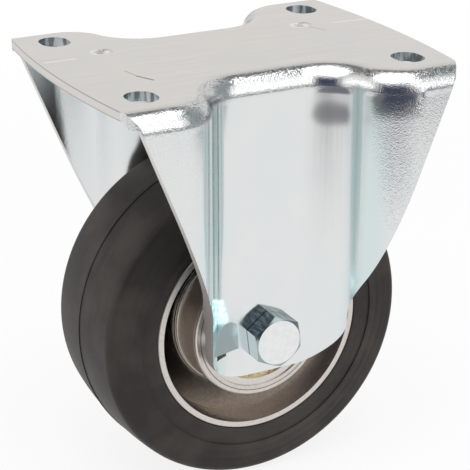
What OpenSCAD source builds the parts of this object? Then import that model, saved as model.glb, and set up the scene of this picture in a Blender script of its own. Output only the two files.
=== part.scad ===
// Heavy-duty fixed castor: pressed steel bracket, elastic rubber tyre on a turned
// aluminium centre, two shielded ball bearings and a bolted axle.
// X is the rolling direction, Y runs along the axle and Z is up. The origin is
// the middle of the plate's top face.

/* [Plate] */
// Length of the plate from end to end, measured along the middle
plate_len = 137; // [130:0.5:160]
// Thickness of the steel sheet that the bracket is pressed from
sheet_t = 3.5; // [2.5:0.1:4]
// Outside radius of the bend between the plate and the legs
bend_r = 7.5; // [5:0.1:9]
// How far each end of the plate bows out over its width
end_bow = 4.3; // [2:0.1:8]
// Radius of the plate's four corners
corner_r = 12; // [8:0.5:16]
// How far the corner blank runs past the wings before it is rounded
corner_over = 2; // [1:0.1:3]

/* [Plate holes] */
// Spacing of the fixing slots along X
hole_pitch_x = 105; // [95:0.5:112]
// Spacing of the fixing slots along Y
hole_pitch_y = 77.5; // [70:0.5:82]
// Width of a fixing slot
slot_w = 11; // [8:0.1:12]
// Length of a fixing slot along Y
slot_len = 13.5; // [12.5:0.1:16]
// Diameter of the two locating dimples in the plate
dimple_d = 7; // [4:0.1:9]
// Depth of the locating dimples
dimple_depth = 0.8; // [0.3:0.1:1.5]
// Distance of each dimple from the middle along X
dimple_x = 41.5; // [30:0.5:48]
// Distance of the dimples from the middle along Y
dimple_y = 18; // [0:0.5:20]

/* [Legs] */
// Length of the flat panel in the middle of each leg
panel_len = 26.8; // [20:0.2:30]
// Radius of the hollow sweep beside the flat panel
hollow_r = 16.4; // [14:0.1:20]
// Radius of the full sweep into each corner wing
wing_r = 19.8; // [17:0.1:22]
// Length of the straight flank between the two sweeps
flank_len = 0.5; // [0.2:0.1:6]
// Half length of a leg at the height where its taper is set
leg_top_half = 59.2; // [56:0.1:62]
// Depth below the plate's top where the taper is set
taper_drop = 10; // [8:0.5:12]
// Angle of each leg edge from the vertical
leg_taper = 21.8; // [20:0.1:24]
// Half length of the tongue at the foot of a leg
tongue_half = 28; // [25:0.1:30]
// Radius that blends a tapered edge into the tongue
tongue_blend_r = 45; // [20:1:60]
// Radius of the two lower corners of a leg
toe_r = 17.5; // [12:0.5:20]
// Distance from the axle down to the lower edge of a leg
toe_drop = 14.3; // [12:0.1:20]

/* [Bolt stop] */
// Distance from the axle to the end of the pressed stop beside the bolt head
stop_from = 13.4; // [12:0.1:15]
// Length of the stop
stop_len = 12.2; // [11:0.1:12.6]
// Height of the stop's slope, from its lower edge to its start inside the sheet
stop_h = 9.4; // [8:0.1:11]
// Depth inside the sheet at which the slope starts
stop_bury = 0.4; // [0.3:0.1:0.8]
// How far the stop's lower edge stands out from the leg
stop_out = 2.6; // [1.5:0.1:3]
// Height of the stop's lower edge above the axle
stop_low = -1; // [-2:0.1:1]
// Turn of the stop outward, along with the hollow sweep
stop_yaw = 12; // [8:1:14]
// Rise of the stop's upper edge away from the bolt
stop_roll = 9; // [4:1:12]
// Distance from the axle to the far end of the sheared opening under the stop
shear_from = 23.5; // [22:0.1:24]
// Length of that opening
shear_len = 5; // [3:0.1:5.5]
// Height of that opening under the stop
shear_h = 3.2; // [2:0.1:4]

/* [Wheel] */
// Distance from the plate's top down to the axle
axle_drop = 101.2; // [98:0.1:115]
// Diameter of the wheel over the tread
wheel_d = 125; // [120:0.5:128]
// Width of the tread between its shoulder edges
tread_w = 40.8; // [36:0.1:43]
// How much lower the tread is at its shoulder edges than in the middle
tread_crown = 1.3; // [0.5:0.1:2]
// Radius of the rounding from the tread into the sidewall
shoulder_r = 3.2; // [2:0.1:4]
// Width of the tyre at its sidewalls
tyre_w = 50; // [48:0.1:52]
// Diameter at which the sidewall steps down to the rim
step_d = 97; // [92:0.5:104]
// Depth of that step
step_depth = 0.5; // [0.2:0.1:1]
// Height of the moulding line round the tread
mould_line_h = 0.3; // [0.1:0.1:0.5]
// Width of the moulding line
mould_line_w = 0.8; // [0.4:0.1:2]
// Diameter of the rim under the rubber
rim_d = 83.6; // [80:0.1:88]
// Width of the rim over its two lips
rim_w = 49; // [46:0.1:49.4]
// Thickness of the rim lip
lip_t = 2.6; // [2:0.1:4]
// Depth of the two grooves that key the rubber to the rim
key_depth = 1.2; // [0.8:0.1:1.4]
// Width of a key groove
key_w = 4; // [3:0.1:6]
// Distance between the two key grooves
key_pitch = 22; // [16:0.5:28]
// Thickness of the web between the hub and the rim
web_t = 16; // [10:0.5:20]
// Outer diameter of the hub at its face
hub_d = 54.2; // [52:0.1:58]
// Width of the hub over its two faces
hub_w = 52.6; // [50:0.1:54]
// Edge chamfer of the hub and the rim lips
edge_chamfer = 0.5; // [0.2:0.1:0.8]

/* [Bearings] */
// Bore of the bearings
bearing_bore = 20; // [17:0.5:22]
// Outer diameter of the bearings
bearing_od = 47; // [46:0.1:48]
// Width of a bearing
bearing_w = 14; // [12:0.5:15]
// Distance of a bearing's outer face below the hub's face
bearing_sink = 0.6; // [0.2:0.1:1.5]
// Diameter of the balls
ball_d = 7.9; // [7:0.1:8.4]
// Number of balls in each bearing
ball_count = 8; // [6:1:9]
// Gap between a ball and the groove or pocket that holds it
ball_gap = 0.12; // [0.08:0.01:0.2]
// Thickness of the inner race under its shoulders
race_t = 4; // [3:0.1:4.5]
// Thickness of the outer race over its shoulders
outer_race_t = 4; // [3:0.1:4.5]
// Radial thickness of the cage
cage_t = 2.4; // [1.6:0.1:3]
// Width of the cage
cage_w = 10; // [9.6:0.1:10.4]
// Thickness of a shield
shield_t = 0.6; // [0.4:0.1:1]
// Depth of a shield below the bearing's face
shield_sink = 0.8; // [0.4:0.1:0.9]
// Depth of the seat that a shield is pressed into
shield_seat = 1.2; // [0.8:0.1:1.6]
// Running gap between a shield and the inner race
shield_gap = 0.3; // [0.2:0.1:0.5]
// Number of crimps round a shield's edge
crimp_count = 14; // [8:1:18]
// Diameter of one crimp
crimp_d = 0.9; // [0.6:0.1:1.2]

/* [Axle] */
// Nominal diameter of the axle bolt
bolt_d = 12; // [10:0.5:12.5]
// Width across the flats of the bolt head and the nut
hex_af = 18; // [17:0.5:20]
// Height of the bolt head
head_h = 7.5; // [6:0.1:9]
// Turn of the bolt head about the axle
head_turn = 37; // [37:1:38]
// How far the bolt runs past the nut
bolt_past_nut = 3; // [1:0.5:5]
// Radial clearance of the bolt in the legs and in the axle tube
bolt_clear = 0.25; // [0.1:0.05:0.5]
// Radial clearance of the axle tube in the pieces that it carries
tube_clear = 0.03; // [0.01:0.01:0.06]
// Length of the collar between each leg and its bearing
collar_len = 3.8; // [2.5:0.1:6]
// Outer diameter of the collars and of the tube between the inner races
collar_d = 26.5; // [25:0.5:27.5]
// Outer diameter of the washer under the nut
washer_d = 24; // [20:0.5:28]
// Thickness of that washer
washer_t = 2.5; // [1.5:0.1:3]
// Height of the nut's hexagon
nut_h = 8.5; // [7:0.1:10]
// Height of the round collar on the nut that holds its insert
nut_collar_h = 3.5; // [3:0.1:5]
// Outer diameter of the nut's collar
nut_collar_d = 16.8; // [16:0.1:17.2]
// Thickness of the nut's insert ring
insert_t = 1.6; // [1.2:0.1:1.8]
// Clearance of the threads, which are drawn plain
thread_clear = 0.05; // [0.02:0.01:0.1]

/* [Hidden] */
$fn = 96;
eps = 0.01;
far_away = 400;

// Bracket: the wall of each leg follows two arcs from the flat panel to the wing
panel_half = panel_len / 2;
panel_y = hub_w / 2 - bearing_sink + collar_len + sheet_t;
flank_cos = 0.352;
flank_sin = 0.936;
flank_angle = acos(flank_cos);
hollow_c = [panel_half, panel_y + hollow_r];
flank_start = hollow_c + hollow_r * [flank_sin, -flank_cos];
flank_end = flank_start + flank_len * [flank_cos, flank_sin];
wing_c = flank_end + wing_r * [flank_sin, -flank_cos];
wing_x = wing_c[0];
wing_y = wing_c[1] + wing_r;
plate_w = 2 * wing_y;
flat_lap = 2;
blank_half = plate_len / 2 + 1;
leg_reach = axle_drop + toe_drop + 1;
bow_r = (wing_y * wing_y + end_bow * end_bow) / (2 * end_bow);
bow_x = plate_len / 2 - bow_r;
corner_y = wing_y + corner_over - corner_r;
corner_x = bow_x + sqrt(pow(bow_r - corner_r, 2) - corner_y * corner_y);
toe_z = -axle_drop - toe_drop;
tongue_z = -taper_drop - (leg_top_half - tongue_half) / tan(leg_taper);
blend_run = tongue_blend_r * tan(leg_taper / 2);
wing_trim_z = -(sheet_t + bend_r) / 2;
wing_trim_x = leg_top_half + (taper_drop + wing_trim_z) * tan(leg_taper);

// Wheel
tread_r = wheel_d / 2;
shoulder_top = tread_r - tread_crown;
crown_r = (pow(tread_w / 2, 2) + pow(tread_crown, 2)) / (2 * tread_crown);
shoulder_y = tyre_w / 2 - 1.6 - shoulder_r;
rim_r = rim_d / 2;
lip_inner = rim_r - lip_t;
hub_r = hub_d / 2;
dish_draft = 0.4;
dish_r = (lip_inner - hub_r) / 2 - dish_draft;
dish_mid = (lip_inner + hub_r) / 2;

// Bearings: the outer face of each one lies just below the hub's face
race_outer = bearing_od / 2;
race_inner = bearing_bore / 2;
pitch_r = (race_outer + race_inner) / 2;
groove_r = ball_d / 2 + ball_gap;
inner_shoulder = race_inner + race_t;
outer_shoulder = race_outer - outer_race_t;
shield_outer = outer_shoulder + shield_seat;
bearing_out = hub_w / 2 - bearing_sink;
bearing_mid = bearing_out - bearing_w / 2;
bearing_in = bearing_out - bearing_w;

// Axle
bolt_r = bolt_d / 2;
leg_inner = panel_y - sheet_t;
tube_r = race_inner - tube_clear;
tube_bore = bolt_r + bolt_clear;
nut_y = panel_y + washer_t;
nut_total = nut_h + nut_collar_h;
bolt_end = nut_y + nut_total + bolt_past_nut;

steel = [0.80, 0.82, 0.83];
rubber = [0.20, 0.19, 0.18];
aluminium = [0.82, 0.78, 0.75];
bright = [0.72, 0.73, 0.74];
brass = [0.76, 0.66, 0.40];
nylon = [0.90, 0.90, 0.86];

// Turns a shape drawn round Z so that it lies round the axle, with its +Z to +Y
module on_axle(y = 0) {
    translate([0, y, -axle_drop]) rotate([-90, 0, 0]) children();
}

// Repeats a shape from the +X +Y quarter in all four quarters
module four_ways() {
    for (sx = [0, 1], sy = [0, 1]) mirror([sx, 0, 0]) mirror([0, sy, 0]) children();
}

// Plain ring round the axle between two places along Y
module ring(outer, inner, from, to) {
    on_axle(from) rotate_extrude()
        translate([inner, 0]) square([outer - inner, to - from]);
}

// Section through the wall: 0 is its outer face, and minus runs into the bracket
module wall_section() {
    translate([-sheet_t, -leg_reach]) square([sheet_t, leg_reach - bend_r]);
    translate([-bend_r - flat_lap, -sheet_t]) square([flat_lap, sheet_t]);
    translate([-bend_r, -bend_r]) intersection() {
        difference() {
            circle(bend_r);
            circle(bend_r - sheet_t);
        }
        square(bend_r + 1);
    }
}

// Straight run of wall along X, with its outer face at the place y
module straight_wall(from, to, y) {
    translate([from, y, 0]) rotate([90, 0, 90])
        linear_extrude(to - from) wall_section();
}

// Wedge from +Y round to the flank's normal, which bounds a sweep about Z
module sweep_wedge() {
    reach = 100;
    translate([0, 0, -leg_reach - 1]) linear_extrude(leg_reach + 2)
        polygon([[0, 0], [0, reach], [-reach * flank_sin, reach],
            [-reach * flank_sin, reach * flank_cos]]);
}

// One quarter of the wall: hollow sweep, flank, full sweep and wing
module quarter_wall() {
    translate([hollow_c[0], hollow_c[1], 0]) intersection() {
        rotate_extrude() translate([hollow_r, 0]) mirror([1, 0]) wall_section();
        rotate(180) sweep_wedge();
    }
    translate([flank_start[0], flank_start[1], 0]) rotate(flank_angle)
        straight_wall(0, flank_len, 0);
    translate([wing_c[0], wing_c[1], 0]) intersection() {
        rotate_extrude() translate([wing_r, 0]) wall_section();
        sweep_wedge();
    }
    straight_wall(wing_x, blank_half, wing_y);
}

// Outline of the flat part of the plate in one quarter
module quarter_flat() {
    inward = bend_r * [flank_sin, -flank_cos];
    square([blank_half, panel_y - bend_r]);
    translate([wing_x, 0]) square([blank_half - wing_x, wing_y - bend_r]);
    difference() {
        polygon([[panel_half, 0], [wing_x, 0], wing_c, flank_end + inward,
            flank_start + inward, [panel_half, flank_start[1] + inward[1]]]);
        translate(hollow_c) circle(hollow_r + bend_r);
    }
    translate(wing_c) circle(wing_r - bend_r);
}

// Plan outline that the pressing is trimmed to: bowed ends and round corners
module plan_trim() {
    corner = [corner_x, corner_y];
    outward = (corner - [bow_x, 0]) / (bow_r - corner_r);
    difference() {
        intersection() {
            translate([bow_x, 0]) circle(bow_r, $fn = 720);
            translate([-bow_x, 0]) circle(bow_r, $fn = 720);
            square([plate_len + 2, plate_w + 2 * corner_over], center = true);
        }
        four_ways() difference() {
            polygon([corner, corner + 2 * corner_r * outward,
                corner + 2 * corner_r * [1, 1], corner + 2 * corner_r * [0, 1]]);
            translate(corner) circle(corner_r);
        }
    }
}

// Points along an arc from one angle to another
function arc(c, r, from, to, steps) =
    [for (i = [0 : steps]) let (a = from + (to - from) * i / steps)
        c + r * [cos(a), sin(a)]];

// Side outline of both legs: a tapered sheet that ends in a round-cornered tongue
module leg_trim() {
    blend_c = [tongue_half + tongue_blend_r, tongue_z - blend_run];
    toe_c = [tongue_half - toe_r, toe_z + toe_r];
    side = concat([[blank_half + 1, 2], [blank_half + 1, wing_trim_z],
        [wing_trim_x, wing_trim_z]],
        arc(blend_c, tongue_blend_r, 180 - leg_taper, 180, 8),
        arc(toe_c, toe_r, 0, -90, 24));
    polygon(concat(side, [for (i = [len(side) - 1 : -1 : 0]) [-side[i][0], side[i][1]]]));
}

// Slot with round ends, cut down through the plate
module plate_slot() {
    half_run = (slot_len - slot_w) / 2;
    translate([0, 0, -sheet_t - 1]) {
        for (s = [-1, 1]) translate([0, s * half_run, 0])
            cylinder(h = sheet_t + 2, d = slot_w);
        translate([-slot_w / 2, -half_run, 0])
            cube([slot_w, 2 * half_run, sheet_t + 2]);
    }
}

// Wedge that slopes outward and down to the stop's lower edge. The inset shifts it
// into the leg, where it cuts the stop's hollow back
module stop_wedge(inset) {
    intersection() {
        translate([-stop_from, -panel_y, stop_low + stop_h - axle_drop])
            rotate([0, stop_roll, stop_yaw]) translate([-stop_len, inset, 0])
            rotate([90, 0, 90]) linear_extrude(stop_len)
                polygon([[stop_bury, 0], [-2 * stop_out - stop_bury, -2 * stop_h],
                    [sheet_t / 2, -2 * stop_h], [sheet_t / 2, 0]]);
        translate([-far_away, -far_away, stop_low - axle_drop])
            cube([2 * far_away, 2 * far_away, 2 * stop_h]);
    }
}

module bracket() {
    color(steel) difference() {
        union() {
            difference() {
                intersection() {
                    union() {
                        translate([0, 0, -sheet_t]) linear_extrude(sheet_t)
                            four_ways() quarter_flat();
                        for (sy = [0, 1]) mirror([0, sy, 0])
                            straight_wall(-panel_half, panel_half, panel_y);
                        four_ways() quarter_wall();
                    }
                    translate([0, 0, -leg_reach - 1]) linear_extrude(leg_reach + 2)
                        plan_trim();
                    translate([0, plate_w, 0]) rotate([90, 0, 0])
                        linear_extrude(2 * plate_w) leg_trim();
                }
                for (sx = [-1, 1], sy = [-1, 1])
                    translate([sx * hole_pitch_x / 2, sy * hole_pitch_y / 2, 0])
                        plate_slot();
                for (sx = [-1, 1]) translate([sx * dimple_x, dimple_y, 0]) dimple_cut();
                on_axle(-plate_w) cylinder(h = 2 * plate_w, r = tube_bore);
                translate([-shear_from, -panel_y - 2 * sheet_t,
                    stop_low - shear_h - axle_drop])
                    cube([shear_len, 4 * sheet_t, shear_h + 0.5]);
            }
            stop_wedge(0);
        }
        stop_wedge(sheet_t);
    }
}

// Round-bottomed cut that leaves a shallow dimple in the plate's top face
module dimple_cut() {
    cut_r = (pow(dimple_d / 2, 2) + pow(dimple_depth, 2)) / (2 * dimple_depth);
    translate([0, 0, cut_r - dimple_depth]) sphere(cut_r);
}

// Half section of the tyre on one side of its middle: x is the radius
module tyre_half() {
    step_r = step_d / 2;
    side = tyre_w / 2;
    face = rim_w / 2;
    difference() {
        union() {
            intersection() {
                translate([tread_r - crown_r, 0]) circle(crown_r, $fn = 720);
                translate([rim_r, 0]) square([far_away, tread_w / 2]);
            }
            polygon([[rim_r, 0], [shoulder_top, 0], [shoulder_top, tread_w / 2],
                [shoulder_top - shoulder_r + shoulder_r * cos(35),
                    shoulder_y + shoulder_r * sin(35)],
                [shoulder_top - shoulder_r + shoulder_r * cos(75),
                    shoulder_y + shoulder_r * sin(75)],
                [step_r, side], [step_r, side - step_depth], [rim_r, face]]);
            translate([shoulder_top - shoulder_r, shoulder_y]) circle(shoulder_r);
            translate([tread_r - 1, 0]) square([1 + mould_line_h, mould_line_w / 2]);
        }
        translate([0, -far_away]) square([far_away, far_away]);
    }
    translate([rim_r - key_depth, key_pitch / 2 - key_w / 2])
        square([key_depth + eps, key_w]);
}

module tyre() {
    color(rubber) on_axle() rotate_extrude($fn = 180) {
        tyre_half();
        mirror([0, 1]) tyre_half();
    }
}

// The round-bottomed dish between the hub and the rim lip on one side
module dish() {
    floor_y = web_t / 2 + dish_r;
    top_y = hub_w / 2 + 1;
    translate([dish_mid, floor_y]) circle(dish_r);
    polygon([[dish_mid - dish_r, floor_y], [dish_mid + dish_r, floor_y],
        [lip_inner, rim_w / 2], [lip_inner, top_y], [hub_r, top_y]]);
}

module wheel_centre() {
    color(aluminium) on_axle() rotate_extrude($fn = 180) difference() {
        polygon([[outer_shoulder, -hub_w / 2], [hub_r - edge_chamfer, -hub_w / 2],
            [hub_r, -hub_w / 2 + edge_chamfer], [hub_r, -rim_w / 2],
            [rim_r - edge_chamfer, -rim_w / 2], [rim_r, -rim_w / 2 + edge_chamfer],
            [rim_r, rim_w / 2 - edge_chamfer], [rim_r - edge_chamfer, rim_w / 2],
            [hub_r, rim_w / 2], [hub_r, hub_w / 2 - edge_chamfer],
            [hub_r - edge_chamfer, hub_w / 2], [outer_shoulder, hub_w / 2]]);
        for (s = [0, 1]) mirror([0, s]) {
            dish();
            translate([outer_shoulder - 1, bearing_in])
                square([race_outer - outer_shoulder + 1, far_away]);
            translate([rim_r - key_depth, key_pitch / 2 - key_w / 2])
                square([key_depth + 1, key_w]);
        }
    }
}

// Bearing pieces, drawn round Z with the middle of the bearing at zero
module outer_race() {
    color(bright) rotate_extrude() difference() {
        translate([outer_shoulder, -bearing_w / 2])
            square([race_outer - tube_clear - outer_shoulder, bearing_w]);
        translate([pitch_r, 0]) circle(groove_r);
        for (s = [0, 1]) mirror([0, s])
            translate([outer_shoulder - 1, bearing_w / 2 - shield_sink - shield_t])
                square([shield_seat + 1, far_away]);
    }
}

module inner_race() {
    color(bright) rotate_extrude() difference() {
        translate([race_inner, -bearing_w / 2]) square([race_t, bearing_w]);
        translate([pitch_r, 0]) circle(groove_r);
    }
}

module balls() {
    color(bright) for (i = [0 : ball_count - 1])
        rotate(i * 360 / ball_count) translate([pitch_r, 0, 0]) sphere(d = ball_d);
}

module cage() {
    color(brass) difference() {
        rotate_extrude() translate([pitch_r - cage_t / 2, -cage_w / 2])
            square([cage_t, cage_w]);
        for (i = [0 : ball_count - 1]) rotate(i * 360 / ball_count)
            translate([pitch_r - cage_t, 0, 0]) rotate([0, 90, 0])
                cylinder(h = 2 * cage_t, r = groove_r);
    }
}

// Shield on the +Z side, with crimps round its edge
module shield() {
    inner = inner_shoulder + shield_gap;
    color(brass) translate([0, 0, bearing_w / 2 - shield_sink - shield_t]) difference() {
        rotate_extrude() translate([inner, 0]) square([shield_outer - inner, shield_t]);
        for (i = [0 : crimp_count - 1]) rotate(i * 360 / crimp_count)
            translate([shield_outer - crimp_d, 0, shield_t / 2])
                cylinder(h = shield_t, d = crimp_d, $fn = 24);
    }
}

// Hexagonal prism with its upper corners rounded off by a 30 degree cone
module hex_body(h) {
    across = hex_af / cos(30);
    intersection() {
        cylinder(h = h, d = across, $fn = 6);
        cylinder(h = h, r1 = hex_af * 0.48 + h * tan(60), r2 = hex_af * 0.48);
    }
}

module axle_bolt() {
    color(steel) union() {
        translate([0, -panel_y, -axle_drop]) rotate([90, -head_turn, 0])
            hex_body(head_h);
        on_axle(-panel_y - eps) cylinder(h = panel_y + bolt_end - 1, r = bolt_r);
        on_axle(bolt_end - 1 - 2 * eps) cylinder(h = 1, r1 = bolt_r, r2 = bolt_r - 1);
    }
}

module lock_nut() {
    color(steel) on_axle(nut_y) difference() {
        union() {
            hex_body(nut_h);
            cylinder(h = nut_total, d = nut_collar_d);
        }
        translate([0, 0, -1]) cylinder(h = nut_total + 2, r = bolt_r + thread_clear);
        translate([0, 0, nut_h]) cylinder(h = nut_collar_h - 1,
            r = bolt_r + thread_clear + insert_t);
    }
}

bracket();
tyre();
wheel_centre();
on_axle(-bearing_mid) outer_race();  // near_outer_race
on_axle(-bearing_mid) inner_race();  // near_inner_race
on_axle(-bearing_mid) balls();  // near_balls
on_axle(-bearing_mid) cage();  // near_cage
on_axle(-bearing_mid) mirror([0, 0, 1]) shield();  // near_outer_shield
on_axle(-bearing_mid) shield();  // near_inner_shield
on_axle(bearing_mid) outer_race();  // far_outer_race
on_axle(bearing_mid) inner_race();  // far_inner_race
on_axle(bearing_mid) balls();  // far_balls
on_axle(bearing_mid) cage();  // far_cage
on_axle(bearing_mid) shield();  // far_outer_shield
on_axle(bearing_mid) mirror([0, 0, 1]) shield();  // far_inner_shield
color(bright)  // inner_spacer_tube
    ring(collar_d / 2, race_inner, -bearing_in, bearing_in);
color(bright)  // axle_tube
    ring(tube_r, tube_bore, -leg_inner, leg_inner);
color(steel)  // near_collar
    ring(collar_d / 2, race_inner, -leg_inner, -bearing_out);
color(steel)  // far_collar
    ring(collar_d / 2, race_inner, bearing_out, leg_inner);
axle_bolt();
color(steel)  // nut_washer
    ring(washer_d / 2, tube_bore, panel_y, nut_y);
lock_nut();
color(nylon)  // nut_insert
    ring(bolt_r + thread_clear + insert_t, bolt_r + thread_clear / 2,
        nut_y + nut_h, nut_y + nut_total - 1);
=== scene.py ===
"""A heavy-duty fixed castor in bright zinc, aluminium and black rubber, dressed over its
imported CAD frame. Metres, +X along the rolling direction, +Y along the axle, +Z up."""

import bpy
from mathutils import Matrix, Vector


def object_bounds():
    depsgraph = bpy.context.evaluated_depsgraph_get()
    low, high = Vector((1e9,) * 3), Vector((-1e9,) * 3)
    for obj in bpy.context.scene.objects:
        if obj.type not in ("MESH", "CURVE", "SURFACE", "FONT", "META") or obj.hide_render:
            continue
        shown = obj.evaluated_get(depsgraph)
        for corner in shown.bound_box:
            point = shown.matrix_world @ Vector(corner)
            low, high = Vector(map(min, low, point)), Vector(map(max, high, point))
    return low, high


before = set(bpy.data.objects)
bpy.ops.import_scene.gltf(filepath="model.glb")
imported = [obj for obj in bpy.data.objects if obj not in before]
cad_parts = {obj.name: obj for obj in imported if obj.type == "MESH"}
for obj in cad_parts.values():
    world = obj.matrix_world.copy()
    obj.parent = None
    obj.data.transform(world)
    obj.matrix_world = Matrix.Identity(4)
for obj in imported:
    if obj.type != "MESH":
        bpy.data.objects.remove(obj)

cad_low, cad_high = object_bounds()

# Camera. It stands about 0.65 m off, to the left of the bolt head's side and above the
# plate, and looks slightly down with a long lens, as in the photograph.
eye = Vector((-0.27377, -0.53156, 0.16719))
aim = Vector((0.00277, 0.0, -0.07349))
camera_data = bpy.data.cameras.new("camera")
camera_data.sensor_width = 36.0
camera_data.lens = 129.6
camera = bpy.data.objects.new("camera", camera_data)
camera.location = eye
camera.rotation_euler = (aim - eye).to_track_quat("-Z", "Y").to_euler()
bpy.context.scene.collection.objects.link(camera)
bpy.context.scene.camera = camera


# Pressed bracket. One blank of 3.5 mm steel sheet, drawn into plate, legs and wings in a
# press, then given a bright zinc coat with a clear blue passivation. The coat is nearly a
# mirror, with fine drawing marks down the legs and rolling marks along the plate.
class Wire:
    """A socket of one node tree, so that shader maths reads as plain sums."""

    def __init__(self, tree, socket=None):
        self.tree = tree
        self.socket = socket

    def node(self, kind, settings=(), sockets=(), out=0):
        """Adds a node: its settings first, then the values or wires of its sockets."""
        made = self.tree.nodes.new("ShaderNode" + kind)
        for name, value in dict(settings).items():
            setattr(made, name, value)
        for key, value in dict(sockets).items():
            plug(made.inputs[key], value)
        return Wire(self.tree, made.outputs[out] if made.outputs else None)

    def maths(self, operation, *values):
        return self.node("Math", {"operation": operation}, dict(enumerate(values)))

    def __add__(self, other):
        return self.maths("ADD", self, other)

    def __sub__(self, other):
        return self.maths("SUBTRACT", self, other)

    def __mul__(self, other):
        return self.maths("MULTIPLY", self, other)

    def __rsub__(self, other):
        return self.maths("SUBTRACT", other, self)

    def __neg__(self):
        return 0.0 - self

    __radd__ = __add__
    __rmul__ = __mul__

    def size(self):
        return self.maths("ABSOLUTE", self)

    def step(self, low, high):
        """0 below low and 1 above high, smooth between."""
        return self.node("MapRange", {"interpolation_type": "SMOOTHSTEP"},
                         {0: self, 1: low, 2: high, 3: 0.0, 4: 1.0})

    def fade(self, low, high):
        """1 below low and 0 above high, smooth between."""
        return 1.0 - self.step(low, high)

    def within(self, low, full, end, high):
        """0 below low, 1 from full to end and 0 above high, smooth between."""
        return self.step(low, full) * self.fade(end, high)

    def near(self, place, reach):
        """1 at the place, and 0 from the reach outward."""
        return (self - place).size().fade(0.0, reach)

    def vector(self, operation, other=(0.0, 0.0, 0.0), out="Vector"):
        return self.node("VectorMath", {"operation": operation}, {0: self, 1: other}, out)

    def length(self):
        return self.vector("LENGTH", out="Value")

    def stretch(self, x, y, z):
        return self.vector("MULTIPLY", (x, y, z))

    def axis(self, number):
        """One coordinate of a place: 0 is x, 1 is y and 2 is z."""
        return self.node("SeparateXYZ", {}, {0: self}, number)

    def line(self, start, end, width):
        """1 along the straight line between two places, and 0 from the width outward."""
        run = Vector(end) - Vector(start)
        past = self.vector("SUBTRACT", start)
        share = self.node("Math", {"operation": "DIVIDE", "use_clamp": True}, {
            0: past.vector("DOT_PRODUCT", run, "Value"), 1: run.length_squared})
        nearest = self.node("VectorMath", {"operation": "SCALE"}, {0: run, 3: share})
        return past.vector("SUBTRACT", nearest).length().fade(width * 0.3, width)

    def noise(self, scale, detail=3.0, roughness=0.5):
        return self.node("TexNoise", {}, {"Vector": self, "Scale": scale,
                                          "Detail": detail, "Roughness": roughness})

    def between(self, low, high):
        """The low colour where this is 0, and the high colour where it is 1."""
        return self.node("Mix", {"data_type": "RGBA"}, {0: self, 6: low, 7: high}, 2)


def plug(socket, value):
    """Gives a socket a wire, or a plain number or colour."""
    if isinstance(value, Wire):
        value.tree.links.new(value.socket, socket)
    elif socket.type == "RGBA":
        socket.default_value = (*value, 1.0)
    else:
        socket.default_value = value


def finish_of(name, *worn_by):
    """A new material on these nodes: its shader's sockets, and the place in mm."""
    material = bpy.data.materials.new(name)
    material.use_nodes = True
    for node in worn_by:
        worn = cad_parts[node].data.materials
        worn.clear()
        worn.append(material)
    tree = material.node_tree
    place = Wire(tree).node("TexCoord", out="Object").stretch(1000.0, 1000.0, 1000.0)
    return tree.nodes["Principled BSDF"].inputs, place


def bump(height, depth_mm, strength=1.0, lean=None):
    """Relief on the piece's own normal, or on one that leans away from it."""
    sockets = {"Strength": strength, "Distance": depth_mm / 1000.0, "Height": height}
    if lean is not None:
        sockets["Normal"] = lean.node("VectorTransform", {
            "vector_type": "NORMAL", "convert_from": "OBJECT", "convert_to": "WORLD"},
            {0: lean})
    return height.node("Bump", {}, sockets)


zinc = (0.79, 0.80, 0.80)
zinc_blue = (0.69, 0.77, 0.79)
teal_passivation_and_painted_sheen = (0.57, 0.73, 0.735)
painted_warm_reflection = (0.79, 0.77, 0.75)
zinc_cool = (0.74, 0.75, 0.75)
zinc_pale = (0.88, 0.87, 0.86)
zinc_dull = (0.52, 0.51, 0.50)
zinc_dark = (0.16, 0.17, 0.18)
zinc_cut = (0.76, 0.73, 0.71)
scratch_and_highlight_white = (1.0, 1.0, 1.0)
slot_x, slot_y = 52.5, 38.75
dents = ((-42.9, 18.3, 0.0), (40.2, 17.9, 0.0))

surface, place = finish_of("bright_zinc_sheet", "bracket")
facing = place.node("TexCoord", out="Normal")
lengthways, along_axle, upward = facing.axis(0), facing.axis(1), facing.axis(2)
x, y, z = place.axis(0), place.axis(1), place.axis(2)

# Where each part of the pressing is. A mask is 1 there and 0 elsewhere, and z counts down
# from the plate's flat top face.
on_top = upward.step(0.90, 0.97)
bent = (1.0 - on_top) * z.step(-9.5, -6.5)
winged = (1.0 - on_top) * x.size().step(30.0, 38.0) * z.step(-100.0, -20.0)
outside = (-along_axle).step(0.3, 0.6)
inner = (-along_axle * y).step(2.0, 12.0)
steep = along_axle.size().fade(0.40, 0.62) * upward.size().fade(0.1, 0.3)
cut = along_axle.size().fade(0.20, 0.32) * (
    1.0 - z.step(-5.0, -3.6) * upward.size().step(0.6, 0.9))
sheared = cut * (z.near(-0.3, 0.4) + z.near(-3.3, 0.4) * 0.8) * (
    lengthways.size().step(0.9, 0.97))
shaded_slot_walls = (x.size() - slot_x).size().fade(5.6, 6.4) * (
    (y.size() - slot_y).size().fade(6.9, 7.6) * upward.size().fade(0.3, 0.6))
by_stop = x.within(-30.0, -27.0, -12.0, -10.0) * (
    z.within(-114.0, -112.0, -90.0, -80.0) * y.fade(-32.0, -30.0))
on_stop = by_stop * y.fade(-34.2, -33.3)
# The hollows of the near leg's sweeps, and a weaker one on the right. Their teal is partly
# the passivation's blue and partly a painted sheen.
hollow = x.near(-28.5, 13.5) * y.fade(-34.6, -33.4) * z.fade(-12.0, -7.0) * (
    1.0 - by_stop * 0.6)
hollow = hollow + x.near(32.0, 7.5) * y.fade(-32.0, -30.0) * z.fade(-12.0, -7.0) * 0.55
# A greyer band down the near leg's panel: drawn rub streaks, darkened as a painted darker
# reflection.
rubbed_and_dark_reflection = x.near(21.5, 10.0) * z.step(-85.0, -22.0) * z.fade(-14.0, -9.0) * outside
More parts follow.
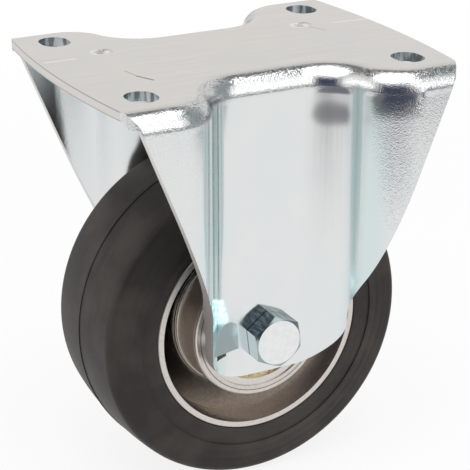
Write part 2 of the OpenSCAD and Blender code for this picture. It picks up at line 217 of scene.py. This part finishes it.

# Marks that the coat, the mill and the press leave, and the masks of painted shade,
# highlights and reflections.
cloud = place.noise(0.035, 2.0)
rolled = place.stretch(0.02, 1.1, 0.6).noise(1.0, 4.0, 0.6)
drawn = place.stretch(0.9, 0.9, 0.02).noise(1.0, 4.0, 0.6)
streak = place.stretch(0.5, 0.5, 0.12).noise(1.0, 2.0).step(0.42, 0.58)
peel = place.noise(2.1, 1.0)
grain = place.noise(1.9, 1.0).step(0.50, 0.60)
bend_dark_reflection_grain = bent * grain * upward.step(0.55, 0.75)
specks = place.noise(0.9, 2.0, 0.6).step(0.70, 0.78)
rubbed_and_dark_reflection = rubbed_and_dark_reflection * (0.75 + drawn.step(0.35, 0.7) * 0.3)
scribed = place.line((-65.9, 14.1, 0.0), (-54.4, 14.2, 0.0), 0.65) + place.line(
    (53.6, 15.4, 0.0), (67.9, 14.3, 0.0), 0.65)
scored = (place.line((-44.8, -8.2, 0.0), (-43.6, -16.0, 0.0), 0.5) * 0.5
          + place.line((-43.6, -16.0, 0.0), (-40.7, -22.6, 0.0), 0.75)
          + place.line((41.9, 15.4, 0.0), (45.0, 7.1, 0.0), 0.5) * 0.5)
# Round each dimple a painted white highlight ring, and in its middle a painted shade.
dimple_ring_highlight = dimple_shade = 0.0
for middle in dents:
    aside = place.vector("SUBTRACT", middle).length()
    dimple_ring_highlight = aside.near(3.1, 1.5) * (streak * 0.4 + 0.6) + dimple_ring_highlight
    dimple_shade = aside.near(0.6, 1.5) * (1.0 - streak * 0.5) + dimple_shade

tint = (cloud.step(0.40, 0.62) * 0.30).between(zinc, zinc_blue)
# Painted teal sheen in the hollows and on the stop, over the passivation's blue.
tint = (hollow * 0.9 + on_stop * 0.35).between(tint, teal_passivation_and_painted_sheen)
# Painted darker reflection band down the panel, with rub streaks in it.
tint = (rubbed_and_dark_reflection * 0.38).between(tint, zinc_dull)
# Painted warm reflection on the plate's top face.
tint = on_top.between(tint, painted_warm_reflection)
tint = (on_top * rolled.step(0.46, 0.66) * 0.12).between(tint, zinc_dull)
tint = (on_top * cloud.step(0.42, 0.60) * 0.5).between(tint, zinc_cool)
tint = (on_top * rolled.fade(0.36, 0.50) * 0.28).between(tint, zinc_pale)
tint = (specks * 0.25).between(tint, zinc_dull)
# The coat's grain greys the bends and wings, more on the right wing as a painted darker
# reflection. The dark specks on the upper bends are a painted dark reflection.
tint = (grain * (bent * 0.45 + winged * (0.1 + x.step(0.0, 10.0) * 0.15))).between(
    tint, zinc_dull)
tint = (bend_dark_reflection_grain * 0.6).between(tint, zinc_dark)
tint = scribed.between(tint, scratch_and_highlight_white)
tint = (scored * on_top * 0.9).between(tint, zinc_dark)
tint = cut.between(tint, zinc_cut)
tint = (sheared * 0.6).between(tint, zinc_dark)
# Painted shade on the slot walls, dark with streaks.
tint = (shaded_slot_walls * 0.85).between(tint, streak.between((0.16, 0.19, 0.21), (0.66, 0.72, 0.74)))
# Painted highlight round the dimples and painted shade inside them.
tint = dimple_ring_highlight.between(tint, scratch_and_highlight_white)
tint = (dimple_shade * on_top * 0.7).between(tint, zinc_dark)
plug(surface["Base Color"], tint)
plug(surface["Metallic"], 1.0)

# Four small places where the drawn wall strays from its plain sections. Only the mirror
# images in the zinc show them, so they are changes of the normal.
wing_top = outside * z.within(-19.0, -11.0, -8.0, -3.0) * x.within(31.0, 36.0, 46.0, 50.0)
bend_dip = outside * z.within(-10.5, -8.6, -5.5, -3.5) * x.near(24.0, 8.0)
hollow_side = outside * z.fade(-10.0, -6.0) * x.near(29.3, 6.5)
panel_dip = outside * place.vector("SUBTRACT", (22.5, 0.0, -17.8)).stretch(
    0.10, 0.0, 0.16).length().fade(0.0, 1.0)
lean = facing.vector("ADD", facing.node("CombineXYZ", {}, {
    0: wing_top * (-0.04 - x.step(40.0, 45.0) * 0.16) + hollow_side * 0.50 - bend_dip * 0.06,
    2: wing_top * 0.17 + panel_dip * 0.072 + bend_dip * 0.10}))
peel_depth = 0.05 - by_stop * 0.04 + bent * 0.62 + winged * z.fade(-12.0, -8.0) * (
    0.2 + x.step(0.0, 10.0) * 0.6)
relief = (drawn * (1.0 - on_top) * (1.0 - by_stop) * 0.05 + rolled * on_top * 0.04
          + peel * peel_depth + dimple_ring_highlight * 1.2)
plug(surface["Normal"], bump(relief, 0.12, lean=lean))
coat_roughness = (0.10 + on_top * 0.14 + (bent + winged) * 0.02 + inner * 0.08 + steep * 0.2
                  + shaded_slot_walls * 0.2 + panel_dip * 0.10 + by_stop * 0.10 + rubbed_and_dark_reflection * 0.07)
plug(surface["Roughness"], cut.maths("MAXIMUM", cut * 0.50, coat_roughness))


# Axle bolt, washer and lock nut. Cold-headed steel with the same bright zinc coat, smoother
# than the sheet. The bolt goes in from the near side and the nut sits on the far one.
surface, place = finish_of("bright_zinc_fastener", "axle_bolt", "nut_washer", "lock_nut")
facing = place.node("TexCoord", out="Normal")
endways = facing.axis(1).size()
cloud = place.noise(0.35, 3.0)
streaks_on_flats = place.stretch(0.9, 0.12, 0.9).noise(1.0, 3.0, 0.6).step(0.38, 0.62)
under_head_shadow = place.axis(1).near(-33.1, 0.5)
end_tint = (cloud.step(0.40, 0.62) * 0.35).between((0.83, 0.84, 0.83), (0.70, 0.77, 0.78))
# The flats are painted reflections: dark with light streaks where they face up, pale where
# they face down.
painted_flat_shading = streaks_on_flats.between((0.20, 0.28, 0.29), (0.50, 0.62, 0.63))
painted_flat_shading = facing.axis(2).step(-0.2, 0.5).between((0.60, 0.72, 0.74), painted_flat_shading)
# Painted contact shadow on the flats next to the leg.
painted_flat_shading = (under_head_shadow * 0.9).between(painted_flat_shading, (0.03, 0.06, 0.06))
tint = endways.step(0.5, 0.9).between(painted_flat_shading, end_tint)
# Painted shade on the chamfers of the head, washer and nut.
bevel_shade = endways.within(0.40, 0.48, 0.90, 0.96)
plug(surface["Base Color"], (bevel_shade * 0.8).between(tint, (0.22, 0.30, 0.32)))
plug(surface["Metallic"], 1.0)
plug(surface["Roughness"], 0.09 + cloud.step(0.4, 0.7) * 0.08)
plug(surface["Normal"], bump(place.noise(1.6, 3.0, 0.6), 0.1, 0.3))

# Insert of the lock nut. A ring of natural nylon, pressed into the nut's collar, where it
# grips the bolt's thread.
surface, place = finish_of("natural_nylon", "nut_insert")
mottle = place.noise(0.4, 2.0)
plug(surface["Base Color"], mottle.between((0.82, 0.82, 0.76), (0.72, 0.71, 0.63)))
plug(surface["Roughness"], 0.45 + mottle * 0.1)


# Tyre. Elastic black-brown rubber, moulded on to the centre in two mould halves. The tread
# keeps a fine line where the halves met, and the skin is satin with faint flow marks.
axle_depth = 101.2
surface, place = finish_of("moulded_rubber", "tyre")
radius = place.vector("ADD", (0.0, 0.0, axle_depth)).stretch(1.0, 0.0, 1.0).length()
flow = place.noise(0.06, 3.0)
skin = place.noise(1.6, 3.0, 0.6)
wiped = place.stretch(0.05, 0.6, 0.05).noise(1.0, 3.0, 0.6) * radius.step(58.0, 61.5)
plug(surface["Base Color"], (flow.step(0.35, 0.7) * 0.8 + wiped.step(0.5, 0.7) * 0.4).between(
    (0.022, 0.018, 0.016), (0.052, 0.042, 0.036)))
plug(surface["Roughness"], 0.38 + skin * 0.16 + wiped * 0.08)
plug(surface["Specular IOR Level"], 0.30)
ripple = radius.maths("SINE", radius * 1.9 + flow * 3.0) * radius.fade(55.0, 58.0)
plug(surface["Normal"], bump(skin * 0.15 + ripple * 0.25, 0.2))


# Wheel centre. One aluminium die casting. Its hub, rim lips and dishes are turned on a
# lathe, which leaves fine rings round the axle. The dish mirrors as a straight cone does,
# so its normal leans most of the way to that of a cone of about 45 degrees.
surface, place = finish_of("turned_aluminium", "wheel_centre")
facing = place.node("TexCoord", out="Normal")
from_axle = place.vector("ADD", (0.0, 0.0, axle_depth)).stretch(1.0, 0.0, 1.0)
radius = from_axle.length()
mottle = place.noise(0.9, 3.0, 0.6)
dished = radius.within(27.0, 28.5, 38.6, 39.4)
ring_lines = radius.near(25.1, 0.35) + radius.near(41.4, 0.4) * 0.6
lip_tint = (mottle.step(0.4, 0.7) * 0.6).between((0.70, 0.655, 0.62), (0.58, 0.53, 0.49))
lip_tint = ring_lines.between(lip_tint, (0.16, 0.14, 0.13))
# Painted shade: the dish is much darker than the lips.
dish_shade_tint = mottle.step(0.35, 0.7).between((0.42, 0.375, 0.335), (0.33, 0.29, 0.255))
plug(surface["Base Color"], dished.between(lip_tint, dish_shade_tint))
plug(surface["Metallic"], 1.0)
plug(surface["Roughness"], 0.30 + mottle * 0.08 - dished * 0.20)
turned = radius.maths("SINE", radius * 16.0)
endways = facing.node("CombineXYZ", {}, {1: facing.axis(1).maths("SIGN", facing.axis(1))})
cone = from_axle.vector("NORMALIZE").stretch(-0.71, 0.0, -0.71).vector(
    "ADD", endways.stretch(0.0, 0.70, 0.0))
lean = facing.node("Mix", {"data_type": "VECTOR"}, {0: dished * 0.85, 4: facing, 5: cone}, 1)
plug(surface["Normal"], bump(turned * (0.02 + dished * 0.05) + mottle * 0.05, 0.1, lean=lean))


# Bearing races and balls. Hardened steel, ground bright. The outer races are pressed into
# the hub, and the inner ones stand still on the axle tube.
surface, place = finish_of("ground_steel", "near_outer_race", "near_inner_race",
                           "far_outer_race", "far_inner_race", "near_balls", "far_balls")
mottle = place.noise(0.8, 2.0)
plug(surface["Base Color"], mottle.between((0.74, 0.70, 0.66), (0.62, 0.59, 0.56)))
plug(surface["Metallic"], 1.0)
plug(surface["Roughness"], 0.18 + mottle * 0.06)

# Cages and shields. Thin brass sheet, pressed. The shields are crimped into the outer races
# and the cages ride with the balls.
surface, place = finish_of("pressed_brass", "near_cage", "far_cage",
                           "near_outer_shield", "near_inner_shield",
                           "far_outer_shield", "far_inner_shield")
mottle = place.noise(0.7, 3.0, 0.6)
plug(surface["Base Color"], mottle.step(0.45, 0.75).between(
    (0.62, 0.53, 0.33), (0.38, 0.30, 0.16)))
plug(surface["Metallic"], 1.0)
plug(surface["Roughness"], 0.25 + mottle * 0.1)

# Tubes and collars. Cut and turned steel, clamped between the legs by the bolt, so that
# they stand still with the inner races.
surface, place = finish_of("turned_steel", "inner_spacer_tube", "axle_tube",
                           "near_collar", "far_collar")
mottle = place.noise(0.8, 3.0)
plug(surface["Base Color"], mottle.between((0.62, 0.62, 0.61), (0.48, 0.47, 0.46)))
plug(surface["Metallic"], 1.0)
plug(surface["Roughness"], 0.26 + mottle * 0.12)


# Floor. A wide white table under the wheel. It glows for the camera, so that it stays
# white, and in mirrors, where it darkens past its edge in front. It keeps the shadow.
reach = 4.0
corners = ((-reach, -reach), (reach, -reach), (reach, reach), (-reach, reach))
floor_mesh = bpy.data.meshes.new("floor")
floor_mesh.from_pydata([(*corner, cad_low.z) for corner in corners], [], [(0, 1, 2, 3)])
floor = bpy.data.objects.new("floor", floor_mesh)
bpy.context.scene.collection.objects.link(floor)
white_floor = bpy.data.materials.new("white_floor")
white_floor.use_nodes = True
white_floor.node_tree.nodes.clear()
floor_mesh.materials.append(white_floor)
start = Wire(white_floor.node_tree)
seen = start.node("LightPath", out="Is Camera Ray")
mirrored = start.node("LightPath", out="Is Glossy Ray")
spot = start.node("TexCoord", out="Object")
to_right, to_front = spot.axis(0), -(spot.axis(0) * 0.45) - spot.axis(1) * 0.89
past_edge = start.maths("MAXIMUM", to_right.step(0.36, 0.46) * 0.7, to_front.step(0.42, 0.60))
mirror_tint = past_edge.between((0.95, 0.95, 0.95), (0.10, 0.10, 0.115))
glow = start.node("Emission", {}, {
    "Strength": 1.0, "Color": seen.between(mirror_tint, (1.0, 1.0, 1.0))})
matt = start.node("BsdfDiffuse", {}, {"Color": (0.86, 0.86, 0.86)})
away = spot.length().step(0.25, 0.7)
start.node("OutputMaterial", {}, {0: start.node("MixShader", {}, {
    0: seen * (0.86 + away * 0.14) + mirrored * 0.85, 1: matt, 2: glow})})


# Studio. What the zinc mirrors: pale warm walls behind, a white screen in front and one to
# the left, a grey side to the right, white overhead, and the dark room round the camera.
# A direction is told by its rise and by its turn from -Y towards +X, in radians.
world = bpy.data.worlds.new("studio")
world.use_nodes = True
world.node_tree.nodes.clear()
bpy.context.scene.world = world
start = Wire(world.node_tree)
way = start.node("TexCoord", out="Generated")
rise = way.axis(2)
turn = start.maths("ARCTAN2", way.axis(0), -way.axis(1))
grey_side = turn.within(0.72, 0.95, 1.5, 1.9) * rise.fade(0.76, 0.90)
front_screen = turn.within(0.10, 0.26, 0.60, 0.78) * rise.fade(0.72, 0.82)
left_screen = turn.within(-2.1, -1.8, -1.36, -1.2) * rise.fade(0.42, 0.58)
overhead = start.maths("MAXIMUM", rise.step(0.93, 0.97),
                       rise.step(0.58, 0.66) * turn.within(-1.3, -1.1, 0.3, 0.5))
camera_side = turn.within(-1.20, -0.98, -0.14, 0.12) * rise.fade(0.52, 0.62)
room = rise.step(0.72, 0.82).between((0.80, 0.79, 0.775), (0.22, 0.22, 0.225))
room = grey_side.between(room, (0.34, 0.37, 0.38))
room = front_screen.between(room, (1.5, 1.5, 1.5))
room = left_screen.between(room, (1.4, 1.4, 1.4))
room = overhead.between(room, (1.35, 1.35, 1.35))
room = camera_side.between(room, (0.065, 0.072, 0.115))
seen = start.node("LightPath", out="Is Camera Ray")
start.node("OutputWorld", {}, {0: start.node("Background", {}, {
    "Color": seen.between(room, (1.0, 1.0, 1.0)), "Strength": 1.0})})

# Softbox. One wide soft light hangs over the castor and a little towards the camera. It is
# weak, because the studio gives most of the light, and it lays the shadow on the floor.
softbox_data = bpy.data.lights.new("softbox", "AREA")
softbox_data.shape = "RECTANGLE"
softbox_data.size = 0.75
softbox_data.size_y = 0.45
softbox_data.energy = 3.2
softbox = bpy.data.objects.new("softbox", softbox_data)
softbox.location = (-0.05, -0.22, 0.62)
lit_spot = Vector((0.0, 0.0, -0.08))
softbox.rotation_euler = (lit_spot - softbox.location).to_track_quat("-Z", "Y").to_euler()
bpy.context.scene.collection.objects.link(softbox)

bpy.context.scene.view_settings.view_transform = "Standard"
